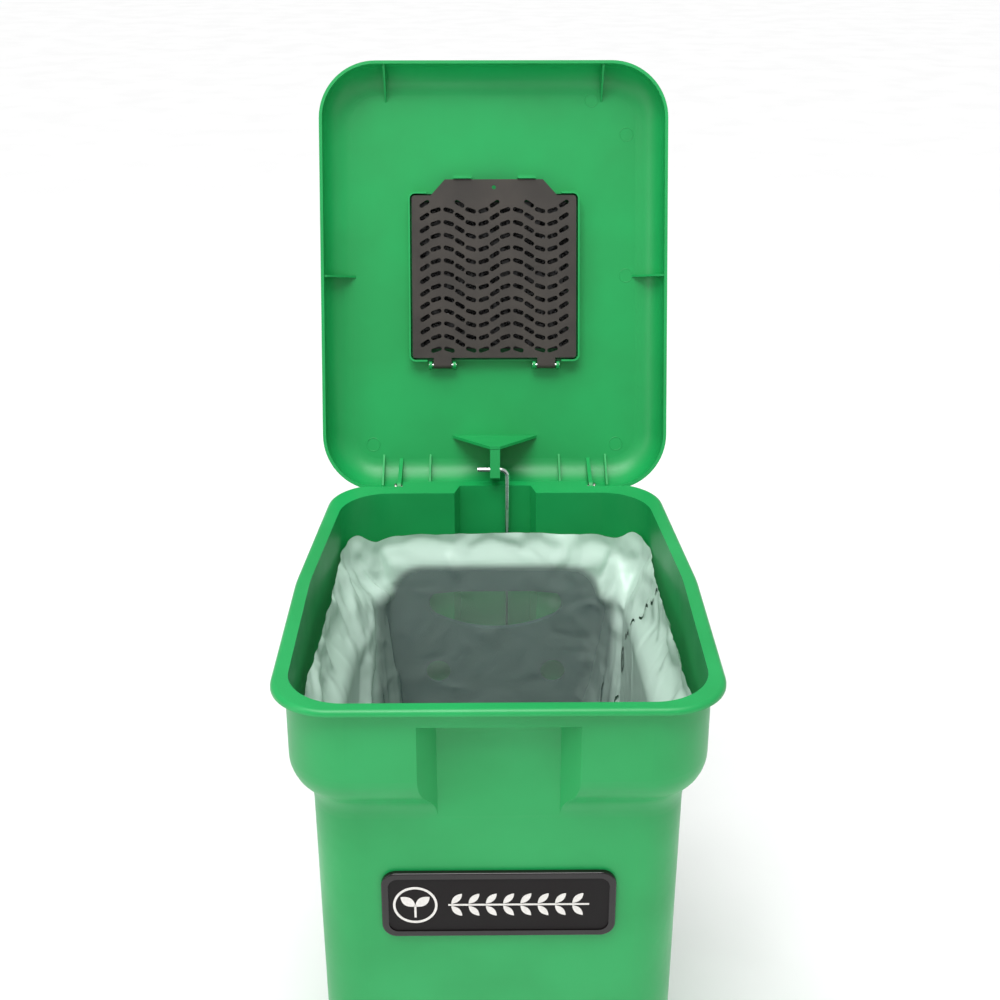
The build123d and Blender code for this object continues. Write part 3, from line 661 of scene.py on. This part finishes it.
class FinishFrame(bpy.types.Operator):
    """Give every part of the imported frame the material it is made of"""

    bl_idname = "compost_bin.finish_frame"
    bl_label = "Finish frame"

    def execute(self, context):
        settings = context.scene.bin_finish
        charcoal, slate = settings.charcoal, settings.bucket
        coat(green_polypropylene(settings), ["outer_bin", "lid_shell"])
        # Plastics and rubber: name, colour, shade, roughness, grain spacing and depth, shine, parts.
        for name, colour, shade, roughness, spacing, depth, shine, parts in (
            ("charcoal_moulded_abs", charcoal, srgb("#3A3530"), 0.46, 0.6, 0.03, 0.5, ["filter_cover"]),
            ("slate_moulded_polypropylene", slate, srgb("#2E3A46"), 0.42, 0.9, 0.03, 0.5,
             ["inner_bucket"]),
            ("black_glass_filled_nylon", srgb("#1B1C1D"), srgb("#242526"), 0.5, 0.8, 0.04, 0.5,
             ["pedal_lever"]),
            ("moulded_black_rubber", srgb("#141414"), srgb("#1D1D1C"), 0.78, 0.9, 0.06, 0.5,
             ["pedal_pad", "feet"]),
            ("natural_acetal", srgb("#E9E7DD"), srgb("#DEDBCF"), 0.35, 0.6, 0.01, 0.5,
             ["lever_bushes"]),
            ("polished_black_abs", srgb("#171314"), srgb("#1C1819"), 0.10, 2.0, 0.004, 0.5,
             ["badge_frame"]),
            ("brushed_black_panel", srgb("#151213"), srgb("#191516"), 0.5, 0.5, 0.015, 0.2,
             ["badge_panel"]),
        ):
            coat(
                textured_plastic(name, colour, shade, roughness, spacing * MM, depth * MM, shine), parts
            )
        # Metals: name, colour, shade, roughness, grain spacing and depth, patch size, parts.
        for name, colour, shade, roughness, spacing, depth, patch, parts in (
            ("nickel_plated_steel", "#F2F3F4", "#E6E8EA", 0.12, 0.5, 0.004, 6,
             ["lift_rod", "filter_hinge_pins", "pedal_axle"]),
            ("tempered_spring_steel", "#8C8A86", "#6F6D6A", 0.28, 0.4, 0.006, 4,
             ["hinge_pin_left", "hinge_pin_right", "rod_retainer", "axle_clips"]),
            ("hot_dip_galvanised_steel", "#B4B8BA", "#8E9396", 0.38, 2.5, 0.02, 5,
             ["axle_brackets", "bracket_screws"]),
        ):
            steel = metal(
                name, srgb(colour), srgb(shade), roughness, spacing * MM, depth * MM, patch * MM
            )
            coat(steel, parts)
        return {"FINISHED"}


class AddLiner(bpy.types.Operator):
    """Hang the compostable film in the bucket, and print its generic leaf marks"""

    bl_idname = "compost_bin.add_liner"
    bl_label = "Add liner"

    def execute(self, context):
        settings = context.scene.bin_liner
        bm = bag_grid(settings)
        bmesh.ops.recalc_face_normals(bm, faces=bm.faces)
        film = mesh_piece(
            "liner_film", bm, starch_film(context.scene.bin_finish), "bin"
        )
        film.data = settle(film, settings)
        refine = film.modifiers.new("refine", "SUBSURF")
        refine.levels = refine.render_levels = 1
        fine = bpy.data.meshes.new_from_object(film.evaluated_get(context.evaluated_depsgraph_get()))
        film.modifiers.remove(refine)
        film.data = fine
        crumple(film)
        for face in film.data.polygons:
            face.use_smooth = True
        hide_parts("liner_bag")
        printed = self.print_marks(film)
        return {"FINISHED"}

    def print_marks(self, film):
        """Generic leaf and dashes in dark green ink on the film's right-hand side."""
        tree = BVHTree.FromObject(film, bpy.context.evaluated_depsgraph_get())
        bm = bmesh.new()
        inward = Vector((-1, 0, 0))

        def lay(points, width, closed=False):
            """Lay a stroke, given as y and z, on the film."""
            path = []
            for y, z in points:
                hit, normal, _, _ = tree.ray_cast(Vector((0.03, y, z)), Vector((1, 0, 0)))
                if hit is None:
                    raise RuntimeError("the print misses the film")
                if normal.x > 0:
                    normal = -normal
                path.append(hit + normal * PRINT_LIFT)
            ribbon(bm, path, lambda t: width, lambda p: inward, closed)

        def stroke(y0, z0, y1, z1, bend=0.0, width=2.2 * MM, steps=12):
            """One curved dash."""
            points = []
            for i in range(steps + 1):
                t = i / steps
                sag = bend * math.sin(math.pi * t)
                points.append((mix(y0, y1, t) + sag, mix(z0, z1, t) + sag * 0.4))
            lay(points, width)

        dashes = 7
        for i in range(dashes):
            t = i / (dashes - 1)
            y, z = mix(0.046, 0.076, t), mix(0.426, 0.370, t)
            stroke(y, z, y + 0.003, z - 0.005, 0.0025 * (-1) ** i, 2.6 * MM)
        leaf = [(0.088 + u, 0.342 + v) for u, v in leaf_outline(0.022, 0.013)]
        lay(leaf, 2.2 * MM, closed=True)
        stroke(0.088, 0.333, 0.088, 0.347, 0.001, 2.0 * MM)
        for i in range(3):
            y, z = 0.106 - i * 0.016, 0.310 - i * 0.002
            stroke(y, z, y - 0.004, z - 0.020, 0.003, 2.6 * MM)
        dark_ink = ink("dark_green_film_ink", srgb("#22402F"), srgb("#1B3527"))
        return mesh_piece("liner_print", bm, dark_ink, "bin")


class AddGranules(bpy.types.Operator):
    """Fill the tray behind the grille with carbon granules"""

    bl_idname = "compost_bin.add_granules"
    bl_label = "Add carbon granules"

    def execute(self, context):
        settings = context.scene.bin_filter
        source = frame["nodes"]["carbon_filter"]
        # The block leans with the lid, so it is measured along the lid's own axes.
        centre = (FILTER_LOW + FILTER_HIGH) / 2
        axes = (Vector((1, 0, 0)), LID_UP, LID_OUT)
        spans = [max(abs((v.co - centre).dot(axis)) for v in source.data.vertices) for axis in axes]
        rng = random.Random(SEED)
        bm = bmesh.new()
        slab = bmesh.ops.create_cube(bm, size=1)["verts"]
        frame_axes = Matrix(axes).transposed()
        for vert in slab:
            x, s, m = (c * 2 for c in vert.co)
            local = Vector(
                (x * (spans[0] - 1.5 * MM), s * (spans[1] - 1.5 * MM), m * (spans[2] - 2.2 * MM) - 2 * MM)
            )
            vert.co = centre + frame_axes @ local
        edges = list({edge for vert in slab for edge in vert.link_edges})
        bmesh.ops.bevel(bm, geom=edges, offset=1.5 * MM, segments=2, affect="EDGES")
        block = bpy.data.meshes.new("tray")
        bm.to_mesh(block)
        bm.free()
        points = [vert.co.copy() for vert in block.vertices]
        faces = [tuple(face.vertices) for face in block.polygons]
        bpy.data.meshes.remove(block)
        seed_bm = bmesh.new()
        bmesh.ops.create_icosphere(seed_bm, subdivisions=1, radius=0.5)
        seed_points = [vert.co.copy() for vert in seed_bm.verts]
        seed_faces = [tuple(vert.index for vert in face.verts) for face in seed_bm.faces]
        seed_bm.free()
        size = settings.granule
        for _ in range(settings.count):
            stretch = Vector((rng.uniform(0.7, 1.2), rng.uniform(0.7, 1.2), rng.uniform(0.5, 0.9))) * size
            turn = Matrix.Rotation(rng.uniform(0, math.tau), 3, Vector([rng.gauss(0, 1) for _ in range(3)]))
            spot = Vector(
                (
                    rng.uniform(-1, 1) * (spans[0] - 3.4 * MM),
                    rng.uniform(-1, 1) * (spans[1] - 3.4 * MM),
                    spans[2] - rng.uniform(2.4, 4.2) * MM,
                )
            )
            first = len(points)
            for co in seed_points:
                shape = Vector([a * b for a, b in zip(co, stretch)]) * (1 + rng.uniform(-0.22, 0.12))
                points.append(centre + frame_axes @ (spot + turn @ shape))
            faces.extend(tuple(first + index for index in face) for face in seed_faces)
        heap = bpy.data.meshes.new("granule_heap")
        heap.from_pydata(points, [], faces)
        bm = bmesh.new()
        bm.from_mesh(heap)
        bpy.data.meshes.remove(heap)
        granules = mesh_piece(
            "carbon_granules", bm, granular_carbon(), "lid", smooth=False
        )
        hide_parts("carbon_filter")
        return {"FINISHED"}


class AddMouldMarks(bpy.types.Operator):
    """Add the ejector-pin witness rings on the lid's inner face"""

    bl_idname = "compost_bin.add_mould_marks"
    bl_label = "Add mould marks"

    def execute(self, context):
        # Places on the lid's inner face, in millimetres: across, and up from the hinge axis.
        spots = [(110, 174), (-102, 33), (102, 33), (110, 290), (81, 318), (-125, 290)]
        hinge = next(joint for joint in frame["joints"] if joint["name"] == "lid_hinge")
        origin = Vector(hinge["pos_m"])
        bm = bmesh.new()
        around, tube = 40, 8
        ring_radius, bead, rise = 5.5 * MM, 0.35 * MM, 0.22 * MM
        for x, s in spots:
            centre = origin + Vector((x * MM, 0, 0)) + LID_UP * s * MM + LID_OUT * LID_FACE
            rings = []
            for i in range(around):
                turn = math.tau * i / around
                spoke = Vector((1, 0, 0)) * math.cos(turn) + LID_UP * math.sin(turn)
                ring = []
                for j in range(tube):
                    tip = math.tau * j / tube
                    reach = ring_radius + bead * math.cos(tip)
                    ring.append(bm.verts.new(centre + spoke * reach + LID_OUT * rise * math.sin(tip)))
                rings.append(ring)
            for i in range(around):
                for j in range(tube):
                    a, b = rings[i], rings[(i + 1) % around]
                    bm.faces.new((a[j], b[j], b[(j + 1) % tube], a[(j + 1) % tube]))
        green = bpy.data.materials["green_moulded_polypropylene"]
        mesh_piece("lid_ejector_rings", bm, green, "lid")
        return {"FINISHED"}


class AddPlateArt(bpy.types.Operator):
    """Print the generic sprout and sprig on the name plate"""

    bl_idname = "compost_bin.add_plate_art"
    bl_label = "Add plate art"

    def execute(self, context):
        up = Vector((0, -math.sin(FRONT_DRAFT), math.cos(FRONT_DRAFT)))
        out = Vector((0, -math.cos(FRONT_DRAFT), -math.sin(FRONT_DRAFT)))
        middle = (PANEL_LOW + PANEL_HIGH) / 2
        surface = max(v.co.dot(out) for v in frame["nodes"]["badge_panel"].data.vertices)
        rise = 0.35 * MM

        def shape(bm, points):
            """Raised flat shape, from points given across and up in metres."""
            front = []
            base = []
            for x, s in points:
                spot = Vector((x, middle.y, middle.z)) + up * s
                spot += out * (surface - spot.dot(out))
                base.append(bm.verts.new(spot + out * 0.02 * MM))
                front.append(bm.verts.new(spot + out * rise))
            count = len(points)
            for i in range(count):
                j = (i + 1) % count
                bm.faces.new((base[i], base[j], front[j], front[i]))
            bm.faces.new(front)

        def leaf(bm, x, s, length, width, angle):
            """One leaf at x, s that points along angle."""
            c, k = math.cos(angle), math.sin(angle)
            shape(bm, [(x + u * k + (v + length / 2) * c, s - u * c + (v + length / 2) * k)
                       for u, v in leaf_outline(length, width)])

        pale = ink("pale_pad_print", srgb("#E9E6E2"), srgb("#DEDBD6"))
        emblem = bmesh.new()
        ex = (EMBLEM_LOW.x + EMBLEM_HIGH.x) / 2
        outer, inner, parts = 14.5 * MM, 12.9 * MM, 72
        for i in range(parts):
            a, b = math.tau * i / parts, math.tau * (i + 1) / parts
            shape(emblem, [(ex + outer * math.cos(a), outer * math.sin(a)),
                           (ex + outer * math.cos(b), outer * math.sin(b)),
                           (ex + inner * math.cos(b), inner * math.sin(b)),
                           (ex + inner * math.cos(a), inner * math.sin(a))])
        bmesh.ops.remove_doubles(emblem, verts=emblem.verts, dist=0.01 * MM)
        leaf(emblem, ex, -1 * MM, 12 * MM, 6.4 * MM, math.radians(38))
        leaf(emblem, ex, -1 * MM, 12 * MM, 6.4 * MM, math.radians(142))
        stem = 0.7 * MM
        shape(emblem, [(ex - stem, -10 * MM), (ex + stem, -10 * MM), (ex + stem, 0), (ex - stem, 0)])
        bmesh.ops.recalc_face_normals(emblem, faces=emblem.faces)
        ring = mesh_piece("plate_sprout", emblem, pale, "bin", smooth=False)
        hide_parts("badge_emblem")

        sprig = bmesh.new()
        left, right = MARKS_LOW.x, MARKS_HIGH.x
        shape(sprig, [(left, -0.6 * MM), (right, -0.6 * MM), (right, 0.6 * MM), (left, 0.6 * MM)])
        pairs = 8
        for i in range(pairs):
            x = mix(left + 2 * MM, right - 11 * MM, i / (pairs - 1))
            size = 10.5 * MM
            leaf(sprig, x, 1.0 * MM, size, 4.4 * MM, math.radians(48))
            leaf(sprig, x, -1.0 * MM, size, 4.4 * MM, math.radians(-48))
        bmesh.ops.recalc_face_normals(sprig, faces=sprig.faces)
        band = mesh_piece("plate_sprig", sprig, pale, "bin", smooth=False)
        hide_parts("badge_marks")
        return {"FINISHED"}


class SetStudio(bpy.types.Operator):
    """Lay the floor and set the lights and the camera"""

    bl_idname = "compost_bin.set_studio"
    bl_label = "Set studio"

    def execute(self, context):
        settings = context.scene.bin_studio
        scene = context.scene
        bm = bmesh.new()
        bmesh.ops.create_grid(bm, x_segments=8, y_segments=8, size=20)
        floor_mesh = bpy.data.meshes.new("studio_floor")
        bm.to_mesh(floor_mesh)
        bm.free()
        floor = bpy.data.objects.new("studio_floor", floor_mesh)
        scene.collection.objects.link(floor)
        floor_mesh.materials.append(studio_card())

        world = bpy.data.worlds.new("studio_sky")
        world.use_nodes = True
        sky = world.node_tree.nodes["Background"]
        sky.inputs["Color"].default_value = (1, 1, 1, 1)
        sky.inputs["Strength"].default_value = settings.sky
        scene.world = world

        target = Vector((0, 0, 0.42))
        for name, place, size, power in (
            ("overhead_softbox", (-0.2, -0.9, 2.4), (1.2, 0.8), 17),
            ("left_softbox", (-1.9, -1.0, 1.3), (0.5, 1.6), 7),
            ("right_softbox", (1.9, -0.8, 1.3), (0.4, 1.6), 0.8),
            ("front_softbox", (-0.3, -2.6, 2.1), (1.8, 1.2), 2),
        ):
            lamp = bpy.data.lights.new(name, "AREA")
            lamp.shape = "RECTANGLE"
            lamp.size, lamp.size_y = size
            lamp.energy = power
            box = bpy.data.objects.new(name, lamp)
            box.location = place
            box.rotation_euler = (target - Vector(place)).to_track_quat("-Z", "Y").to_euler()
            scene.collection.objects.link(box)
        ceiling_light = bpy.data.lights.new("ceiling_silk", "SUN")
        ceiling_light.energy = settings.ceiling
        ceiling_light.angle = math.radians(50)
        ceiling = bpy.data.objects.new("ceiling_silk", ceiling_light)
        ceiling.rotation_euler = (math.radians(14), math.radians(-6), 0)
        scene.collection.objects.link(ceiling)

        camera_data = bpy.data.cameras.new("studio_camera")
        camera_data.lens = settings.lens
        camera_data.sensor_width = 36
        camera_data.shift_y = settings.shift
        camera = bpy.data.objects.new("studio_camera", camera_data)
        camera.location = settings.eye
        camera.rotation_euler = (math.pi / 2 - settings.pitch, 0, -settings.yaw)
        scene.collection.objects.link(camera)
        scene.camera = camera
        scene.view_settings.view_transform = "Standard"
        return {"FINISHED"}


class BinPanel(bpy.types.Panel):
    """Buttons for each step of the bin's dressing"""

    bl_idname = "VIEW3D_PT_compost_bin"
    bl_label = "Compost Bin"
    bl_space_type = "VIEW_3D"
    bl_region_type = "UI"
    bl_category = "Compost Bin"

    def draw(self, context):
        for group, label in (
            ("bin_finish", "Finish"), ("bin_liner", "Liner"), ("bin_filter", "Filter"),
            ("bin_studio", "Studio"),
        ):
            box = self.layout.box()
            box.label(text=label)
            settings = getattr(context.scene, group)
            for name in settings.__annotations__:
                box.prop(settings, name)
        for operator in OPERATORS:
            self.layout.operator(operator.bl_idname)


OPERATORS = (SetStudio, FinishFrame, AddLiner, AddGranules, AddMouldMarks, AddPlateArt)
SETTINGS = {
    "bin_finish": FinishSettings,
    "bin_liner": LinerSettings,
    "bin_filter": FilterSettings,
    "bin_studio": StudioSettings,
}


def register():
    for cls in (*SETTINGS.values(), *OPERATORS, BinPanel):
        bpy.utils.register_class(cls)
    for name, cls in SETTINGS.items():
        setattr(bpy.types.Scene, name, PointerProperty(type=cls))


def unregister():
    for name in SETTINGS:
        delattr(bpy.types.Scene, name)
    for cls in reversed((*SETTINGS.values(), *OPERATORS, BinPanel)):
        bpy.utils.unregister_class(cls)


def main():
    """Run every step in order."""
    register()
    bpy.ops.compost_bin.set_studio()
    bpy.ops.compost_bin.finish_frame()
    bpy.ops.compost_bin.add_liner()
    bpy.ops.compost_bin.add_granules()
    bpy.ops.compost_bin.add_mould_marks()
    bpy.ops.compost_bin.add_plate_art()


if __name__ == "__main__":
    main()
